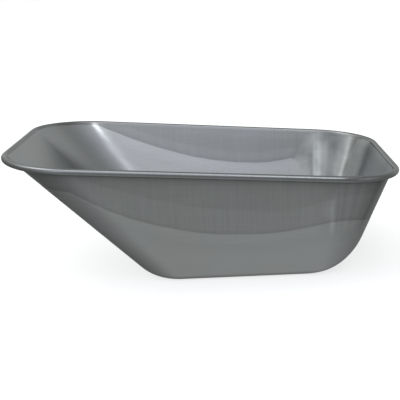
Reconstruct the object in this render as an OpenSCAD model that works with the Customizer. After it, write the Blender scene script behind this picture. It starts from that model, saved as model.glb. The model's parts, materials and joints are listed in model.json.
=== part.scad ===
// Galvanised wheelbarrow tray: one deep-drawn steel sheet whose edge is rolled
// outwards round a steel wire. The nose is at -X, the handle end at +X, +Z is up.
// The flat base stands on z = 0, and x = 0 is the middle of the rim's length.

/* [Rim] */
// Overall length of the tray over the rolled edge.
tray_l = 920; // [880:5:960]
// Width over the rolled edge where the long sides meet the nose line.
rim_w_front = 656; // [620:2:690]
// Width over the rolled edge where the long sides meet the handle-end line.
rim_w_rear = 608; // [580:2:640]
// Corner radius of the rim at the nose, to the middle of the rolled edge.
rim_r_front = 164; // [120:2:190]
// Corner radius of the rim at the handle end, to the middle of the rolled edge.
rim_r_rear = 150; // [120:2:180]
// Height of the middle of the rolled edge above the ground, half way along.
rim_h = 282; // [250:2:310]
// Angle by which the rim climbs towards the nose.
rim_slope = 4.5; // [2:0.5:6]
// Outside diameter of the rolled edge.
bead_d = 15.4; // [14:0.2:17]

/* [Walls and base] */
// Length, seen from above, over which the nose wall slopes down to the base line.
nose_run = 318; // [290:2:340]
// Length, seen from above, over which the handle-end wall slopes down.
rear_run = 114; // [100:2:130]
// Width of the base to the sharp line where walls and floor would meet.
base_w = 370; // [340:2:390]
// Corner radius of that line at the nose.
base_r_front = 86; // [76:1:96]
// Corner radius of that line at the handle end.
base_r_rear = 82; // [76:1:92]
// How far the bend into the nose wall reaches back across the floor.
bend_nose = 37; // [30:1:45]
// How far the bend into the handle-end wall reaches back across the floor.
bend_rear = 92; // [80:1:100]
// How far the bend into each long wall reaches across the floor.
bend_side = 20; // [16:1:26]
// Corner radius of the flat floor at the nose.
floor_r_front = 50; // [44:1:56]
// Corner radius of the flat floor at the handle end.
floor_r_rear = 48; // [44:1:54]

/* [Sheet and wire] */
// Thickness of the steel sheet.
sheet_t = 1; // [0.8:0.1:1.2]
// Angle left open between the end of the roll and the wall below the rim.
curl_gap = 45; // [42:1:60]
// Diameter of the wire that stiffens the rolled edge.
wire_d = 6; // [4:0.5:8]

/* [Bolt holes] */
// Diameter of the four holes for the bolts that hold the tray on its frame.
bolt_hole_d = 9; // [6.6:0.1:11]
// Distance between the holes along the tray.
bolt_dx = 240; // [200:5:280]
// Distance between the holes across the tray.
bolt_dy = 200; // [140:5:240]
// Middle of the hole pattern along the tray.
bolt_x = 75; // [65:1:85]

/* [Hidden] */
corner_n = 11;
side_n = 5;
bend_n = 8;
wall_n = 3;
curl_n = 13;
wire_n = 12;
wire_lift = 0.3;
bead_r = bead_d / 2;
hollow_r = bead_r - sheet_t;
half_l = tray_l / 2;
count = 4 * (corner_n + side_n);

function unit(v) = v / norm(v);
function turn(a, b) = b > a ? b : b + 360;

// One rounded corner of an outline and the straight side that follows it. The corner is
// at p, the corner before it at a and the corner after it at b, and r is its radius.
function bisector(p, a, b) = unit(unit(a - p) + unit(b - p));
function half_angle(p, a, b) = acos(unit(a - p) * unit(b - p)) / 2;
function arc_middle(p, a, b, r) = p + bisector(p, a, b) * r / sin(half_angle(p, a, b));
function arc_start(p, a, b, r) = p + unit(a - p) * r / tan(half_angle(p, a, b));
function arc_end(p, a, b, r) = p + unit(b - p) * r / tan(half_angle(p, a, b));
function heading(v) = atan2(v[1], v[0]);
function arc_points(c, s, e, r) =
    let (first = heading(s - c))
    let (last = turn(first, heading(e - c)))
    [for (k = [0 : corner_n - 1])
        let (t = first + (last - first) * k / corner_n)
        c + r * [cos(t), sin(t)]];
function line_points(s, e) = [for (k = [0 : side_n - 1]) s + (e - s) * k / side_n];

// Closed outline of four straight sides and four round corners, anticlockwise from above.
function outline(x_nose, x_rear, half_nose, half_rear, r_nose, r_rear) =
    let (p = [[x_rear, -half_rear], [x_rear, half_rear], [x_nose, half_nose], [x_nose, -half_nose]])
    let (r = [r_rear, r_rear, r_nose, r_nose])
    [for (i = [0 : 3])
        let (a = p[(i + 3) % 4])
        let (b = p[(i + 1) % 4])
        let (c = p[(i + 2) % 4])
        let (s = arc_start(p[i], a, b, r[i]))
        let (e = arc_end(p[i], a, b, r[i]))
        let (next = arc_start(b, p[i], c, r[(i + 1) % 4]))
        each concat(arc_points(arc_middle(p[i], a, b, r[i]), s, e, r[i]), line_points(e, next))];

// Middle line of the rolled edge, and its outward direction seen from above.
rim_flat = outline(bead_r - half_l, half_l - bead_r, rim_w_front / 2 - bead_r,
    rim_w_rear / 2 - bead_r, rim_r_front, rim_r_rear);
rim_line = [for (q = rim_flat) [q[0], q[1], rim_h - q[0] * tan(rim_slope)]];
rim_out = [for (i = [0 : count - 1])
    let (d = unit(rim_flat[(i + 1) % count] - rim_flat[(i + count - 1) % count]))
    [d[1], -d[0], 0]];

// Line where walls and floor would meet without the bend, and edge of the flat floor.
x_nose = nose_run - half_l;
x_rear = half_l - rear_run;
corner_flat = outline(x_nose, x_rear, base_w / 2, base_w / 2, base_r_front, base_r_rear);
corner_line = [for (q = corner_flat) [q[0], q[1], sheet_t]];
floor_flat = outline(x_nose + bend_nose, x_rear - bend_rear, base_w / 2 - bend_side,
    base_w / 2 - bend_side, floor_r_front, floor_r_rear);
floor_line = [for (q = floor_flat) [q[0], q[1], sheet_t]];

// Steepness of the wall at each point, such that it runs smoothly into the rolled edge.
steep = [for (i = [0 : count - 1])
    let (v = rim_line[i] - corner_line[i])
    let (out = v * rim_out[i])
    asin(bead_r / norm([out, v[2]])) + atan2(v[2], out)];

// A point on the roll at radius r, where a is measured from the outward direction.
function roll_point(i, r, a) = rim_line[i] + r * (cos(a) * rim_out[i] + [0, 0, sin(a)]);
wall_top = [for (i = [0 : count - 1]) roll_point(i, bead_r, 90 + steep[i])];

// Where the bend ends and the straight wall begins.
bend_end = [for (i = [0 : count - 1])
    let (ends = rim_out[i][0])
    let (reach = bend_side + ((ends > 0 ? bend_rear : bend_nose) - bend_side) * ends * ends)
    let (rise = wall_top[i] - corner_line[i])
    corner_line[i] + rise * reach * sin(steep[i]) / rise[2]];

// Inner face of the tray: v runs 0 to 1 round the bend and 1 to 2 up the wall.
function bend_point(i, v) =
    let (w = cos(steep[i] / 2))
    let (a = (1 - v) * (1 - v))
    let (b = 2 * w * v * (1 - v))
    let (c = v * v)
    (a * floor_line[i] + b * corner_line[i] + c * bend_end[i]) / (a + b + c);
function face_point(i, v) =
    v <= 1 ? bend_point(i, v) : bend_end[i] + (wall_top[i] - bend_end[i]) * (v - 1);
steps = concat([for (k = [0 : bend_n]) k / bend_n], [for (k = [1 : wall_n - 1]) 1 + k / wall_n]);
inner = [for (v = steps) [for (i = [0 : count - 1]) face_point(i, v)]];

// Outer face: the inner face moved out by the thickness of the sheet.
function along(i, v) = face_point((i + 1) % count, v) - face_point((i + count - 1) % count, v);
function upward(i, v) = v < 1 ? bend_point(i, v + 0.01) - bend_point(i, v - 0.01)
    : wall_top[i] - bend_end[i];
function outward(i, v) = v == 0 ? [0, 0, -1] : unit(cross(along(i, v), upward(i, v)));
outer = [for (v = steps) [for (i = [0 : count - 1]) face_point(i, v) + sheet_t * outward(i, v)]];

// The roll, outside and inside.
roll_angle = 360 - curl_gap;
function roll_ring(r, k) =
    [for (i = [0 : count - 1]) roll_point(i, r, 90 + steep[i] - roll_angle * k / curl_n)];
roll_outside = [for (k = [0 : curl_n]) roll_ring(bead_r, k)];
roll_inside = [for (k = [curl_n : -1 : 0]) roll_ring(hollow_r, k)];

// Faces of a band between ring j and ring k of a stack of closed rings.
function band(j, k) = [for (i = [0 : count - 1])
    let (n = (i + 1) % count)
    each [[j * count + i, j * count + n, k * count + n], [j * count + i, k * count + n, k * count + i]]];

module tray_sheet() {
    rings = concat(inner, roll_outside, roll_inside, [for (k = [len(outer) - 1 : -1 : 0]) outer[k]]);
    last = len(rings) - 1;
    top_middle = len(rings) * count;
    middle = (x_nose + bend_nose + x_rear - bend_rear) / 2;
    polyhedron(
        points = concat([for (ring = rings) each ring], [[middle, 0, sheet_t], [middle, 0, 0]]),
        faces = concat(
            [for (i = [0 : count - 1]) [top_middle, (i + 1) % count, i]],
            [for (k = [0 : last - 1]) each band(k, k + 1)],
            [for (i = [0 : count - 1])
                [top_middle + 1, last * count + i, last * count + (i + 1) % count]]),
        convexity = 8);
}

// The pressed tray with its rolled edge and its four bolt holes.
module tray_shell() {
    color([0.62, 0.64, 0.65])
    difference() {
        tray_sheet();
        for (x = [-1, 1])
            for (y = [-1, 1])
                translate([bolt_x + x * bolt_dx / 2, y * bolt_dy / 2, -5])
                    cylinder(h = 10 + sheet_t, d = bolt_hole_d, $fn = 48);
    }
}

// The closed ring of wire that lies in the hollow of the rolled edge.
module rim_wire() {
    drop = hollow_r - wire_d / 2 - wire_lift;
    rings = [for (k = [0 : wire_n - 1])
        let (a = 360 * k / wire_n)
        [for (i = [0 : count - 1])
            roll_point(i, wire_d / 2, a) - [0, 0, drop]]];
    color([0.45, 0.46, 0.47])
    polyhedron(
        points = [for (ring = rings) each ring],
        faces = [for (k = [0 : wire_n - 1]) each band((k + 1) % wire_n, k)],
        convexity = 4);
}

tray_shell();
rim_wire();
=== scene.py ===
"""Galvanised wheelbarrow tray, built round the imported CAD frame. Metres, nose at -X, +Z up."""

import json
import math

import bmesh
import bpy
import numpy as np
from mathutils import Matrix, Vector


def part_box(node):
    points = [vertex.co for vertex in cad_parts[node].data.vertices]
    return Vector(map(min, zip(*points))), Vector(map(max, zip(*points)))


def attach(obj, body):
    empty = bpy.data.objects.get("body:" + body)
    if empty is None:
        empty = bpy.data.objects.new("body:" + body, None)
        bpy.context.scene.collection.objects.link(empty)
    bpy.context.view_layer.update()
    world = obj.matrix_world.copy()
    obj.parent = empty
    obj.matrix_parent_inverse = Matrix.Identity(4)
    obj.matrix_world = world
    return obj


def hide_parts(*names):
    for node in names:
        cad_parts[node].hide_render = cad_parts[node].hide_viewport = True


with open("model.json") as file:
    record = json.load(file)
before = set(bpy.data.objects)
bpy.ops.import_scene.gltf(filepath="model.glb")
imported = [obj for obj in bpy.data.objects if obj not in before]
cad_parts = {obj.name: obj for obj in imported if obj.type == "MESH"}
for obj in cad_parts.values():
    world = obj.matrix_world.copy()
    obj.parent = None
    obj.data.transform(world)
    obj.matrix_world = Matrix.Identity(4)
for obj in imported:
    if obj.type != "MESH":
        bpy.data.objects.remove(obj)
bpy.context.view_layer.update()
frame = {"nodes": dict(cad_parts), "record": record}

# ---------------------------------------------------------------- the tray's driving sizes
TRAY_LOW, TRAY_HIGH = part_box("tray_shell")
TRAY_L = TRAY_HIGH.x - TRAY_LOW.x  # overall length, from the frame
RIM_W_FRONT = 0.656
RIM_W_REAR = 0.608
RIM_R_FRONT = 0.164
RIM_R_REAR = 0.150
RIM_H = 0.282
RIM_SLOPE = math.radians(4.5)
BEAD_R = 0.0076
NOSE_RUN = 0.318
REAR_RUN = 0.114
BASE_W = 0.370
BASE_R_FRONT = 0.086
BASE_R_REAR = 0.082
BEND_NOSE = 0.037
BEND_REAR = 0.092
BEND_SIDE = 0.020
FLOOR_R_FRONT = 0.050
FLOOR_R_REAR = 0.048
SHEET_T = 0.001
CURL_GAP = math.radians(45)

# The bolt holes, from the record's own mount
BOLTS = next(m for m in frame["record"]["mounts"] if m["name"] == "frame_bolts")

# How finely the sheet is meshed
CORNER_N = 44
SIDE_N = 36
BEND_N = 20
WALL_N = 44
CURL_N = 30


# ---------------------------------------------------------------- outlines and the drawn sheet
def unit(v):
    return v / np.linalg.norm(v, axis=-1, keepdims=True)


def smoothstep(low, high, x):
    t = np.clip((x - low) / (high - low), 0, 1)
    return t * t * (3 - 2 * t)


def outline(x_nose, x_rear, half_nose, half_rear, r_nose, r_rear):
    """Closed outline of four straight sides and four round corners, anticlockwise from above."""
    corners = np.array(
        [[x_rear, -half_rear], [x_rear, half_rear], [x_nose, half_nose], [x_nose, -half_nose]]
    )
    radii = [r_rear, r_rear, r_nose, r_nose]
    arcs = []
    for i in range(4):
        p = corners[i]
        back = unit(corners[i - 1] - p)
        ahead = unit(corners[(i + 1) % 4] - p)
        half = math.acos(back @ ahead) / 2
        middle = p + unit(back + ahead) * radii[i] / math.sin(half)
        start = p + back * radii[i] / math.tan(half)
        end = p + ahead * radii[i] / math.tan(half)
        first = math.atan2(*(start - middle)[::-1])
        turn = math.pi - 2 * half
        angles = first + turn * np.arange(CORNER_N) / CORNER_N
        arc = middle + radii[i] * np.stack([np.cos(angles), np.sin(angles)], 1)
        arcs.append((arc, end, start))
    points = []
    for i in range(4):
        arc, end, _ = arcs[i]
        start_next = arcs[(i + 1) % 4][2]
        share = (np.arange(SIDE_N) / SIDE_N)[:, None]
        points += [arc, end + (start_next - end) * share]
    return np.concatenate(points)


def level(flat, z):
    return np.column_stack([flat, np.full(len(flat), z)])


def rim_height(place):
    """Height of the rolled edge's middle above the floor."""
    return RIM_H - place[:, 0] * math.tan(RIM_SLOPE)


HALF_L = TRAY_L / 2
X_NOSE = NOSE_RUN - HALF_L
X_REAR = HALF_L - REAR_RUN
rim_flat = outline(
    BEAD_R - HALF_L,
    HALF_L - BEAD_R,
    RIM_W_FRONT / 2 - BEAD_R,
    RIM_W_REAR / 2 - BEAD_R,
    RIM_R_FRONT,
    RIM_R_REAR,
)
# Truly round corners stand a hair wider than the CAD's facets, so the rim is narrowed to match
rim_flat[:, 1] *= (TRAY_HIGH.y - BEAD_R) / rim_flat[:, 1].max()
rim_line = np.column_stack([rim_flat, rim_height(rim_flat)])
COUNT = len(rim_flat)
direction = unit(np.roll(rim_flat, -1, 0) - np.roll(rim_flat, 1, 0))
rim_out = np.column_stack([direction[:, 1], -direction[:, 0], np.zeros(COUNT)])
corner_line = level(
    outline(X_NOSE, X_REAR, BASE_W / 2, BASE_W / 2, BASE_R_FRONT, BASE_R_REAR), SHEET_T
)
floor_line = level(
    outline(
        X_NOSE + BEND_NOSE,
        X_REAR - BEND_REAR,
        BASE_W / 2 - BEND_SIDE,
        BASE_W / 2 - BEND_SIDE,
        FLOOR_R_FRONT,
        FLOOR_R_REAR,
    ),
    SHEET_T,
)

# Steepness of the wall, such that it runs smoothly into the rolled edge
rise = rim_line - corner_line
run_out = np.sum(rise * rim_out, axis=1)
steep = np.arcsin(BEAD_R / np.hypot(run_out, rise[:, 2])) + np.arctan2(rise[:, 2], run_out)
UP = np.array([0.0, 0.0, 1.0])


def roll_ring(radius, angle):
    """One ring of the rolled edge. The angle is measured from the outward direction."""
    angle = np.broadcast_to(angle, (COUNT,))[:, None]
    return rim_line + radius * (np.cos(angle) * rim_out + np.sin(angle) * UP)


wall_top = roll_ring(BEAD_R, math.pi / 2 + steep)
ends = rim_out[:, 0]
reach = BEND_SIDE + (np.where(ends > 0, BEND_REAR, BEND_NOSE) - BEND_SIDE) * ends**2
climb = wall_top - corner_line
bend_end = corner_line + climb * (reach * np.sin(steep) / climb[:, 2])[:, None]
bend_weight = np.cos(steep / 2)[:, None]


def face_ring(v):
    """One ring of the inner face: v runs 0 to 1 round the bend and 1 to 2 up the wall."""
    if v > 1:
        return bend_end + (wall_top - bend_end) * (v - 1)
    a = (1 - v) ** 2
    b = 2 * bend_weight * v * (1 - v)
    c = v**2
    return (a * floor_line + b * corner_line + c * bend_end) / (a + b + c)


def across(v):
    """Unit normals of the inner face's ring v, pointing out of the tray."""
    ring = face_ring(v)
    along = np.roll(ring, -1, 0) - np.roll(ring, 1, 0)
    if v < 1:
        upward = face_ring(v + 0.01) - face_ring(max(v - 0.01, 0))
    else:
        upward = wall_top - bend_end
    return unit(np.cross(along, upward))


# ---------------------------------------------------------------- the marks that drawing leaves
lengths = np.linalg.norm(np.roll(rim_flat, -1, 0) - rim_flat, axis=1)
walked = np.cumsum(lengths) - lengths
handle_middle = np.argmin(np.where(rim_flat[:, 0] > 0, np.abs(rim_flat[:, 1]), 1))


def foot(ring):
    """For each point, the nearest point of the rim seen from above, the outward direction there,
    and how far that is round the rim from the middle of the handle end, either way.

    The sheet slid over the die square to the rim, so its marks run along these lines."""
    start = rim_flat
    step = np.roll(rim_flat, -1, 0) - start
    offset = ring[:, None, :2] - start[None]
    share = np.clip(np.sum(offset * step, axis=2) / np.sum(step * step, axis=1), 0, 1)
    gap = np.linalg.norm(offset - share[..., None] * step, axis=2)
    nearest = np.argmin(gap, axis=1)
    part = share[np.arange(len(ring)), nearest]
    after = (nearest + 1) % COUNT
    place = start[nearest] + part[:, None] * step[nearest]
    outward = unit(rim_out[nearest] * (1 - part[:, None]) + rim_out[after] * part[:, None])
    round_rim = walked[nearest] + part * lengths[nearest] - walked[handle_middle]
    round_rim = np.abs((round_rim + lengths.sum() / 2) % lengths.sum() - lengths.sum() / 2)
    return place, outward[:, :2], round_rim


# The two lines: where they are lowest, how low, and how they rise to the nose and the handle end
DIE_LINE = dict(x_low=0.125, low=0.124, nose=0.127, span=0.413, power=2.2, rear=0.026)
HOLDER_LINE = dict(x_low=0.150, low=0.184, nose=0.111, span=0.433, power=1.8, rear=0.034)
DIE_LINE_TOP = 0.252  # it gets no higher than this, near the nose
END_DIP = 0.02
REAR_SPAN = 0.2
REAR_POWER = 1.4


def curve_of_line(x, x_low, low, nose, span, power, rear):
    """Height of a line round the tray that is lowest near the middle of the long sides."""
    nose_rise = nose * (np.clip(x_low - x, 0, None) / span) ** power
    rear_share = (np.clip(x - x_low, 0, None) / REAR_SPAN) ** REAR_POWER
    return low + nose_rise + rear * smoothstep(0, 1, rear_share)


def dip_on_end(place, outward):
    """How far the lines sink again on the handle end."""
    return END_DIP * (1 - outward[:, 1] ** 2) * (place[:, 0] > 0)


def die_line(place, outward):
    """Height of the edge of the zone that slid over the die, which marks the outside."""
    height = curve_of_line(place[:, 0], **DIE_LINE)
    return np.minimum(height, DIE_LINE_TOP) - dip_on_end(place, outward)


def holder_line(place, outward):
    """Height of the edge of the zone that the blank holder pressed, which marks the inside."""
    return curve_of_line(place[:, 0], **HOLDER_LINE) - dip_on_end(place, outward)


# Puckers of the handle-end corners: distance round the rim from the middle of the handle end,
# width, height, and the painted highlight the inside gets there (below zero, painted shade; the
# outside gets the opposite). The first two have no height: they only paint light over the
# handle end, which is painted brighter as a whole.
PUCKERS = [
    (0.000, 0.200, 0.0, 0.9),
    (0.160, 0.030, 0.0, 0.8),
    (0.190, 0.014, 0.00008, 0.2),
    (0.232, 0.012, -0.00015, -0.4),
    (0.262, 0.014, 0.00055, 0.8),
    (0.317, 0.014, -0.00035, -0.4),
    (0.350, 0.007, -0.00015, -0.5),
    (0.368, 0.0045, 0.00010, 0.35),
    (0.384, 0.004, 0.00014, 0.55),
    (0.394, 0.004, -0.00010, -1.0),
    (0.402, 0.003, 0.00006, 0.4),
    (0.408, 0.003, -0.00006, -0.4),
    (0.414, 0.0035, 0.00006, 0.4),
]
PUCKER_FOOT = 0.10  # the height at which they begin
PUCKER_FULL = 0.15


def puckers(ring, round_rim):
    """How far the puckers stand out of the tray, in metres, and their painted highlight, which is
    painted shade where it is below zero.
    """
    high, bright = 0, 0
    for at, wide, height, rubbed in PUCKERS:
        bump = np.exp(-(((round_rim - at) / wide) ** 2))
        high = high + height * bump
        bright = bright + rubbed * bump
    upper = smoothstep(PUCKER_FOOT, PUCKER_FULL, ring[:, 2])
    return high * upper, bright * upper


LINE_STEP = 0.0003  # how far the sheet steps in at the lower line
UPPER_STEP = 0.5  # of that at the upper one
LINE_SOFT = 0.005
FLAT_FROM = 1.9  # the relief fades out from here up to the roll, as a v of face_ring


def relief(ring, v, place, outward, round_rim):
    """How far the sheet stands proud, in metres: soft steps at the lines, and puckers."""
    lower = smoothstep(-LINE_SOFT, LINE_SOFT, ring[:, 2] - die_line(place, outward))
    upper = smoothstep(-LINE_SOFT, LINE_SOFT, ring[:, 2] - holder_line(place, outward))
    fade = smoothstep(0, 1, v) * smoothstep(2, FLAT_FROM, v)
    high = puckers(ring, round_rim)[0]
    return (high - LINE_STEP * (lower + UPPER_STEP * upper)) * fade


# ---------------------------------------------------------------- mesh of the sheet
FAR = 0.1  # stands for "nowhere near" in the marks that are distances
FAINT_RISE = 0.028  # how far above the main line the faint one runs on the inside
END_FROM, END_TO = 0.25, 0.21  # the handle end begins here, as a distance round the rim
BLUR_FROM, BLUR_TO, BLUR = 0.45, 0.40, 41  # in its corners the inner lines are this much softer
END_BARE = 0.2  # keeps the lines off the inside of the handle end
# Painted shade: the roll's underside is darkened, as if shaded by the wall
ROLL_SHADE_FROM = math.radians(-60)  # the roll is darkened from here down
# The roll's painted highlight on top and painted shade below: strength, how sharply it turns, tilt
ROLL_SHINE = 0.8
ROLL_SHINE_EDGE = 1.5
ROLL_SHINE_TILT = 0.2


def marks_of(place, **marks):
    """The marks of one ring, by name. Those left out are plain."""
    plain = {"main_line": FAR, "faint_line": FAR, "below_roll": FAR, "polish": 0, "inside": 0}
    marks = plain | marks
    return place, {name: np.broadcast_to(value, COUNT) for name, value in marks.items()}


def wall_marks(ring, place, outward, round_rim):
    """Marks of the inner and the outer face at one ring: height above the main line and the
    faint one, depth below the roll (for its painted shadow), the puckers' painted highlight and
    shade, and which face it is."""
    above_die = ring[:, 2] - die_line(place, outward)
    above_holder = ring[:, 2] - holder_line(place, outward)
    below_roll = rim_height(place) - BEAD_R - ring[:, 2]
    polish = puckers(ring, round_rim)[1]
    end = smoothstep(END_FROM, END_TO, round_rim)
    blur = 1 + (BLUR - 1) * smoothstep(BLUR_FROM, BLUR_TO, round_rim) * (1 - end)
    above_inner = (above_holder - END_BARE * end) / blur
    faint_inner = above_inner - FAINT_RISE / blur
    inner = marks_of(place, main_line=above_inner, faint_line=faint_inner, polish=polish, inside=1)
    outer = marks_of(
        place, main_line=above_die, faint_line=above_holder, below_roll=below_roll, polish=-polish
    )
    return inner, outer


def roll_marks(angle):
    """Marks of the roll at one angle from the outward direction: a painted highlight on top,
    painted shade below.
    """
    depth = FAR * np.clip(angle - ROLL_SHADE_FROM, 0, 1)
    facing = np.clip(ROLL_SHINE_EDGE * np.sin(angle + ROLL_SHINE_TILT), -1, 1)
    return marks_of(rim_flat, below_roll=depth, polish=ROLL_SHINE * facing)


def sheet_rings():
    """All rings of the sheet's surface, from the floor up the inside, round the roll and back,
    and their marks."""
    steps = [k / BEND_N for k in range(BEND_N + 1)]
    steps += [1 + k / WALL_N for k in range(1, WALL_N)]
    inner, outer, marks_in, marks_out = [], [], [], []
    for v in steps:
        ring = face_ring(v)
        foot_of_ring = foot(ring)
        out = np.broadcast_to(-UP, ring.shape) if v == 0 else across(v)
        proud = relief(ring, v, *foot_of_ring)[:, None] * out
        inner.append(ring + proud)
        outer.append(ring + proud + SHEET_T * out)
        mark_in, mark_out = wall_marks(ring, *foot_of_ring)
        marks_in.append(mark_in)
        marks_out.append(mark_out)
    roll_angle = 2 * math.pi - CURL_GAP
    angles = [math.pi / 2 + steep - roll_angle * k / CURL_N for k in range(CURL_N + 1)]
    roll = [roll_ring(BEAD_R, angle) for angle in angles]
    roll += [roll_ring(BEAD_R - SHEET_T, angle) for angle in reversed(angles)]
    marks_roll = [roll_marks(angle) for angle in angles]
    rings = inner + roll + outer[::-1]
    return rings, marks_in + marks_roll + marks_roll[::-1] + marks_out[::-1]


HOLE_R = BOLTS["dims"]["hole_r_mm"] / 1000
HOLE_N = 48
SHARP = math.radians(40)  # edges sharper than this are shaded as edges


def bolt_holes():
    """Centres of the four bolt holes."""
    x, y = BOLTS["pos_m"][:2]
    dx = BOLTS["dims"]["spacing_x_mm"] / 2000
    dy = BOLTS["dims"]["spacing_y_mm"] / 2000
    return [(x + i * dx, y + j * dy) for i in (-1, 1) for j in (-1, 1)]


def closed(bm, verts):
    """The edges of a closed run of vertices, made where they aren't there yet."""
    pairs = zip(verts, verts[1:] + verts[:1])
    return [bm.edges.get(pair) or bm.edges.new(pair) for pair in pairs]


def add_floor(bm, ring, z, facing_up, holes):
    """Fills a ring with a flat face that has round holes, and returns the holes' vertices."""
    edges = closed(bm, ring)
    rims = []
    for x, y in holes:
        angles = [2 * math.pi * k / HOLE_N for k in range(HOLE_N)]
        circle = [
            bm.verts.new((x + HOLE_R * math.cos(angle), y + HOLE_R * math.sin(angle), z))
            for angle in angles
        ]
        edges += closed(bm, circle)
        rims.append(circle)
    made = bmesh.ops.triangle_fill(bm, use_beauty=True, edges=edges)
    for face in made["geom"]:
        if isinstance(face, bmesh.types.BMFace):
            face.normal_update()
            if (face.normal.z > 0) != facing_up:
                face.normal_flip()
    return rims


def build_tray(material):
    """The sheet as one mesh, with its marks as attributes of the vertices."""
    rings, marks = sheet_rings()
    bm = bmesh.new()
    layers = {name: bm.verts.layers.float.new(name) for name in marks[0][1]}
    sheet = bm.verts.layers.float_vector.new("sheet")
    verts = []
    for ring, (place, mark) in zip(rings, marks):
        row = [bm.verts.new(p) for p in ring]
        for i, vert in enumerate(row):
            for name, layer in layers.items():
                vert[layer] = mark[name][i]
            vert[sheet] = (place[i][0], place[i][1], ring[i][2])
        verts.append(row)
    for low, high in zip(verts, verts[1:]):
        for i in range(COUNT):
            n = (i + 1) % COUNT
            bm.faces.new((low[n], low[i], high[i], high[n])[::-1])
    holes = bolt_holes()
    top = add_floor(bm, verts[0], SHEET_T, True, holes)
    under = add_floor(bm, verts[-1], 0.0, False, holes)
    for upper, lower in zip(top, under):
        for i in range(HOLE_N):
            n = (i + 1) % HOLE_N
            bm.faces.new((upper[i], upper[n], lower[n], lower[i]))
    for rim in top + under:
        for vert in rim:
            vert[layers["main_line"]] = vert[layers["faint_line"]] = -FAR
            vert[layers["below_roll"]] = FAR
            vert[layers["inside"]] = float(vert.co.z > 0)
            vert[sheet] = (vert.co.x, vert.co.y, 0)
    bm.normal_update()
    for face in bm.faces:
        face.smooth = True
    for edge in bm.edges:
        if edge.is_manifold and edge.calc_face_angle(0) > SHARP:
            edge.smooth = False
    mesh = bpy.data.meshes.new("tray_sheet")
    bm.to_mesh(mesh)
    bm.free()
    mesh.materials.append(material)
    tray = bpy.data.objects.new("tray_sheet", mesh)
    bpy.context.collection.objects.link(tray)
    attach(tray, "root")
    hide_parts("tray_shell")


# ---------------------------------------------------------------- materials
class Nodes:
    """A short way to write the node tree of a material or of the world."""

    def __init__(self, owner):
        owner.use_nodes = True
        self.owner = owner
        self.tree = owner.node_tree
        self.shader = self.tree.nodes.get("Principled BSDF")

    def add(self, kind, inputs=(), **settings):
        node = self.tree.nodes.new(kind)
        for name, value in settings.items():
            setattr(node, name, value)
        for key, value in dict(inputs).items():
            self.put(node.inputs[key], value)
        return node

    def put(self, socket, value):
        if isinstance(value, bpy.types.NodeSocket):
            self.tree.links.new(value, socket)
        else:
            socket.default_value = value

    def attribute(self, name, output="Fac"):
        return self.add("ShaderNodeAttribute", attribute_name=name).outputs[output]

    def math(self, operation, a, b=0.0):
        return self.add("ShaderNodeMath", {0: a, 1: b}, operation=operation).outputs[0]

    def noise(self, vector, scale, detail=3.0, roughness=0.5):
        return self.add(
            "ShaderNodeTexNoise",
            {"Vector": vector, "Scale": scale, "Detail": detail, "Roughness": roughness},
        ).outputs["Fac"]

    def dot(self, vector, direction):
        return self.add(
            "ShaderNodeVectorMath", {0: vector, 1: direction}, operation="DOT_PRODUCT"
        ).outputs["Value"]

    def stretch(self, vector, scale):
        node = self.add("ShaderNodeVectorMath", {0: vector, 1: scale}, operation="MULTIPLY")
        return node.outputs[0]

    def remap(self, value, low, high, to_low, to_high):
        return self.add(
            "ShaderNodeMapRange",
            {
                "Value": value,
                "From Min": low,
                "From Max": high,
                "To Min": to_low,
                "To Max": to_high,
            },
        ).outputs["Result"]

    def vary(self, noise, low, high):
        """Spreads a noise, which lies mostly between 0.3 and 0.7, from low to high."""
        return self.remap(noise, 0.3, 0.7, low, high)

    def fade(self, mark, plain, full):
        """The value plain where a mark is 0, and full where it is 1."""
        return self.remap(mark, 0.0, 1.0, plain, full)

    def mix(self, factor, a, b):
        node = self.add("ShaderNodeMix", data_type="RGBA")
        self.put(node.inputs["Factor"], factor)
        self.put(node.inputs["A"], a)
        self.put(node.inputs["B"], b)
        return node.outputs["Result"]


# The galvanised sheet: sizes in metres, and shades as parts of the plain sheet's
ZINC_WARM = (0.500, 0.515, 0.512, 1)
ZINC_COOL = (0.502, 0.512, 0.528, 1)
EDGE_TINT = (0.58, 0.58, 0.58, 1)  # keeps zinc seen at a slant from turning white
RUBBED_SHADE = 0.80
PRESSED_SHADE = 0.93
SCUFF_SHADE = 0.90
SCUFF_DEPTH = 0.012
# Painted shadow under the roll, on the wall and on the roll's underside: how dark, and how fast it
# fades
ROLL_SHADOW_SHADE = 0.42
ROLL_SHADOW_DEPTH = 0.011
STREAK_SHADE = 0.055
STREAK_SCALE = 240.0
STREAK_STRETCH = 0.03
MAIN_SOFT = 0.0015  # half the width over which the main line's tone changes
FAINT_SOFT = 0.0025
SMOOTH_FROM, SMOOTH_TO = -0.035, -0.005  # the sheet gets smoother here, below the main line
ROUGH_PLAIN, ROUGH_RUBBED = 0.34, 0.17


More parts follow.
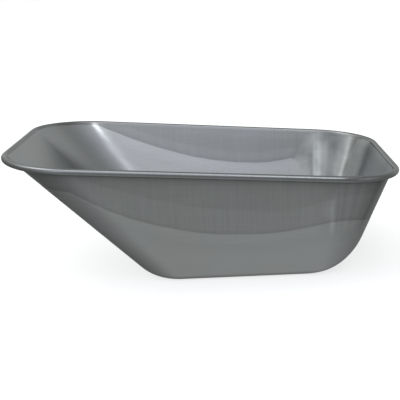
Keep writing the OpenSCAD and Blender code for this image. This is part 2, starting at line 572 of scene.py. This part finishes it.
def galvanised_sheet():
    n = Nodes(bpy.data.materials.new("galvanised_sheet"))
    main = n.attribute("main_line")
    faint = n.attribute("faint_line")
    roll = n.attribute("below_roll")
    polish = n.attribute("polish")
    inside = n.attribute("inside")
    sheet = n.attribute("sheet", "Vector")
    place = n.add("ShaderNodeTexCoord").outputs["Object"]
    mottle = n.noise(place, 7.0, 4.0)
    grain = n.noise(place, 420.0, 3.0)
    down_wall = n.stretch(sheet, (1.0, 1.0, STREAK_STRETCH))
    round_wall = n.stretch(sheet, (STREAK_STRETCH, STREAK_STRETCH, 1.0))
    streaks = n.noise(down_wall, STREAK_SCALE, 4.0, 0.65)
    rolled = n.noise(round_wall, STREAK_SCALE, 4.0, 0.65)

    # Above the main line the sheet was rubbed as it was drawn: it is darker and smoother, with
    # fine streaks down the wall. Above the faint line it is a little darker again.
    wander = n.vary(n.noise(place, 14.0), -0.0015, 0.0015)
    above_main = n.math("ADD", main, wander)
    above_faint = n.math("ADD", faint, wander)
    rubbed = n.remap(above_main, -MAIN_SOFT, MAIN_SOFT, 0.0, 1.0)
    pressed = n.remap(above_faint, -FAINT_SOFT, FAINT_SOFT, 0.0, 1.0)
    scuffed = n.math("MULTIPLY", rubbed, n.remap(above_main, 0.0, SCUFF_DEPTH, 1.0, 0.0))
    # Painted shadow just under the roll and on the roll's underside
    depth = n.math("MAXIMUM", roll, 0.0)
    roll_shadow = n.math("EXPONENT", n.math("DIVIDE", depth, -ROLL_SHADOW_DEPTH))
    # Painted light: the wall is brightened more the deeper it lies below the main line
    painted_low_light = n.remap(main, -0.06, 0.0, 1.0, 0.0)
    # Painted light and shade on the inside faces only: brighter below the main line, darker above
    # it
    inside_painted_light = n.math("MULTIPLY", n.fade(rubbed, 0.12, -0.06), inside)
    streaky = n.math("MULTIPLY", n.vary(streaks, -STREAK_SHADE, STREAK_SHADE), rubbed)
    shade = n.vary(mottle, 0.97, 1.03)
    for factor in (
        n.fade(rubbed, 1.0, RUBBED_SHADE),
        n.fade(pressed, 1.0, PRESSED_SHADE),
        n.fade(scuffed, 1.0, SCUFF_SHADE),
        n.fade(roll_shadow, 1.0, ROLL_SHADOW_SHADE),
        n.fade(painted_low_light, 0.96, 1.05),
        # painted highlights and shade: the puckers, the handle end and the roll
        n.remap(polish, -1.0, 1.0, 0.78, 1.22),
        n.math("ADD", inside_painted_light, 1.0),
        n.vary(rolled, 0.97, 1.03),
        n.math("ADD", streaky, 1.0),
    ):
        shade = n.math("MULTIPLY", shade, factor)
    tint = n.remap(n.noise(place, 5.0, 2.0), 0.4, 0.6, 0.0, 1.0)
    colour = n.mix(tint, ZINC_WARM, ZINC_COOL)
    dulled = n.add("ShaderNodeVectorMath", {0: colour, "Scale": shade}, operation="SCALE")
    n.put(n.shader.inputs["Base Color"], dulled.outputs[0])
    n.put(n.shader.inputs["Metallic"], 1.0)
    n.put(n.shader.inputs["Specular Tint"], EDGE_TINT)

    rough = n.math("ADD", n.vary(mottle, -0.02, 0.02), n.vary(grain, -0.02, 0.02))
    smoothed = n.remap(main, SMOOTH_FROM, SMOOTH_TO, ROUGH_PLAIN, ROUGH_RUBBED)
    n.put(n.shader.inputs["Roughness"], n.math("ADD", rough, smoothed))

    lines = n.math("MULTIPLY", n.math("MULTIPLY", streaks, rubbed), 0.6)
    bumps = n.math("ADD", lines, n.math("MULTIPLY", grain, 0.25))
    bump = n.add("ShaderNodeBump", {"Strength": 0.10, "Distance": 0.0004, "Height": bumps})
    n.put(n.shader.inputs["Normal"], bump.outputs["Normal"])
    return n.owner


WIRE_DARK = (0.30, 0.31, 0.32, 1)
WIRE_LIGHT = (0.42, 0.43, 0.44, 1)


def drawn_wire():
    n = Nodes(bpy.data.materials.new("drawn_wire"))
    place = n.add("ShaderNodeTexCoord").outputs["Object"]
    mottle = n.noise(place, 60.0)
    colour = n.mix(mottle, WIRE_DARK, WIRE_LIGHT)
    n.put(n.shader.inputs["Base Color"], colour)
    n.put(n.shader.inputs["Metallic"], 1.0)
    n.put(n.shader.inputs["Roughness"], n.vary(mottle, 0.35, 0.5))
    return n.owner


build_tray(galvanised_sheet())
wire_node = frame["nodes"]["rim_wire"]
wire_node.data.materials.clear()
wire_node.data.materials.append(drawn_wire())


# ---------------------------------------------------------------- floor, light and camera
def paper():
    """White paper, lit from below as well, so that the tray's shadow on it stays pale."""
    n = Nodes(bpy.data.materials.new("floor_paper"))
    n.put(n.shader.inputs["Base Color"], (0.9, 0.9, 0.9, 1))
    n.put(n.shader.inputs["Roughness"], 0.8)
    n.put(n.shader.inputs["Emission Color"], (1, 1, 1, 1))
    n.put(n.shader.inputs["Emission Strength"], FLOOR_GLOW)
    return n.owner


FLOOR_SIZE = 60.0
FLOOR_GLOW = 0.65
bpy.ops.mesh.primitive_plane_add(size=FLOOR_SIZE)
floor = bpy.context.object
floor.name = "floor"
floor.data.materials.append(paper())
floor.visible_glossy = False

ROOM_WHITE = 1.0
ROOM_GREY = 0.225
NEUTRAL = (0.990, 1.010, 0.990, 1)
COOL = (0.975, 1.000, 1.045, 1)
COOL_HEADING = (0, 40)  # light from about here is a little blue
COOL_FROM, COOL_TO = 0.3, 0.8


def heading(azimuth, elevation):
    """Unit vector from the tray: azimuth 0 is -Y, 90 is +X, and elevation is above the floor."""
    a, e = math.radians(azimuth), math.radians(elevation)
    return Vector((math.sin(a) * math.cos(e), -math.cos(a) * math.cos(e), math.sin(e)))


def studio():
    """A dim room with soft lights round the tray, behind a backdrop that is white to the eye."""
    n = Nodes(bpy.data.worlds.new("studio"))
    bpy.context.scene.world = n.owner
    seen = n.tree.nodes["Background"]
    n.put(seen.inputs["Color"], (1, 1, 1, 1))
    n.put(seen.inputs["Strength"], ROOM_WHITE)

    towards = n.add("ShaderNodeTexCoord").outputs["Generated"]
    brightness = ROOM_GREY
    for azimuth, elevation, spread, strength, edge in LIGHTS:
        off = n.math("SUBTRACT", 1.0, n.dot(towards, heading(azimuth, elevation)))
        off = n.math("POWER", n.math("DIVIDE", off, math.radians(spread) ** 2), edge)
        falloff = n.math("EXPONENT", n.math("MULTIPLY", off, -1.0))
        brightness = n.math("ADD", brightness, n.math("MULTIPLY", falloff, strength))
    cool = n.remap(n.dot(towards, heading(*COOL_HEADING)), COOL_FROM, COOL_TO, 0.0, 1.0)
    colour = n.mix(cool, NEUTRAL, COOL)
    lit = n.add("ShaderNodeBackground", {"Color": colour, "Strength": brightness})

    rays = n.add("ShaderNodeLightPath")
    blend = n.add("ShaderNodeMixShader", {"Fac": rays.outputs["Is Camera Ray"]})
    n.put(blend.inputs[1], lit.outputs["Background"])
    n.put(blend.inputs[2], seen.outputs["Background"])
    n.put(n.tree.nodes["World Output"].inputs["Surface"], blend.outputs["Shader"])


# Azimuth, elevation, spread in degrees, strength, and how sharp the edge is, of each soft light.
# They began as a least-squares fit to the photo's tones, then were changed and rounded.
LIGHTS = [
    # From below
    (0, -65, 22, 0.20, 1),
    (120, -65, 22, 0.10, 1),
    # Level with the tray
    (150, 0, 18, 0.40, 1),
    (-35, 0, 18, 0.25, 1),
    (-165, 5, 12, 0.50, 1),
    (60, 10, 12, 0.30, 1),
    (170, 10, 8, 0.15, 1),
    # A third of the way up
    (-20, 30, 11, 0.50, 1),
    (0, 30, 11, 0.20, 1),
    (-145, 30, 17, 0.30, 1),
    (-85, 30, 6, 0.30, 1),
    # Half way up
    (140, 40, 10, 0.15, 1),
    (5, 45, 8, 0.55, 1),
    (20, 50, 4, 2.20, 3),
    (-90, 50, 17, 0.70, 1),
    # High up
    (-70, 60, 12, 1.10, 1),
    (-5, 60, 7, 0.35, 1),
    (20, 75, 13, 0.80, 1),
]
studio()

# The camera of the photograph: a mild telephoto, a little above the rim, tilted with the tray
VIEW_AZIMUTH = 0.31
VIEW_ELEVATION = 14.34
VIEW_ROLL = -2.58
VIEW_DISTANCE = 2.2485
VIEW_TARGET = Vector((0.0592, 0, 0.1473))
SENSOR = 36.0
FOCAL_IN_FRAMES = 2.2157
SHIFT_X = -0.0718
SHIFT_Y = -0.0009
camera_data = bpy.data.cameras.new("camera")
camera_data.sensor_width = SENSOR
camera_data.lens = SENSOR * FOCAL_IN_FRAMES
camera_data.shift_x = SHIFT_X
camera_data.shift_y = SHIFT_Y
camera = bpy.data.objects.new("camera", camera_data)
bpy.context.collection.objects.link(camera)
back = heading(VIEW_AZIMUTH, VIEW_ELEVATION)
camera.location = VIEW_TARGET + back * VIEW_DISTANCE
camera.rotation_mode = "QUATERNION"
aim = (-back).to_track_quat("-Z", "Y").to_matrix()
roll = Matrix.Rotation(math.radians(VIEW_ROLL), 3, "Z")
camera.rotation_quaternion = (aim @ roll).to_quaternion()
bpy.context.scene.camera = camera
bpy.context.scene.view_settings.view_transform = "Standard"
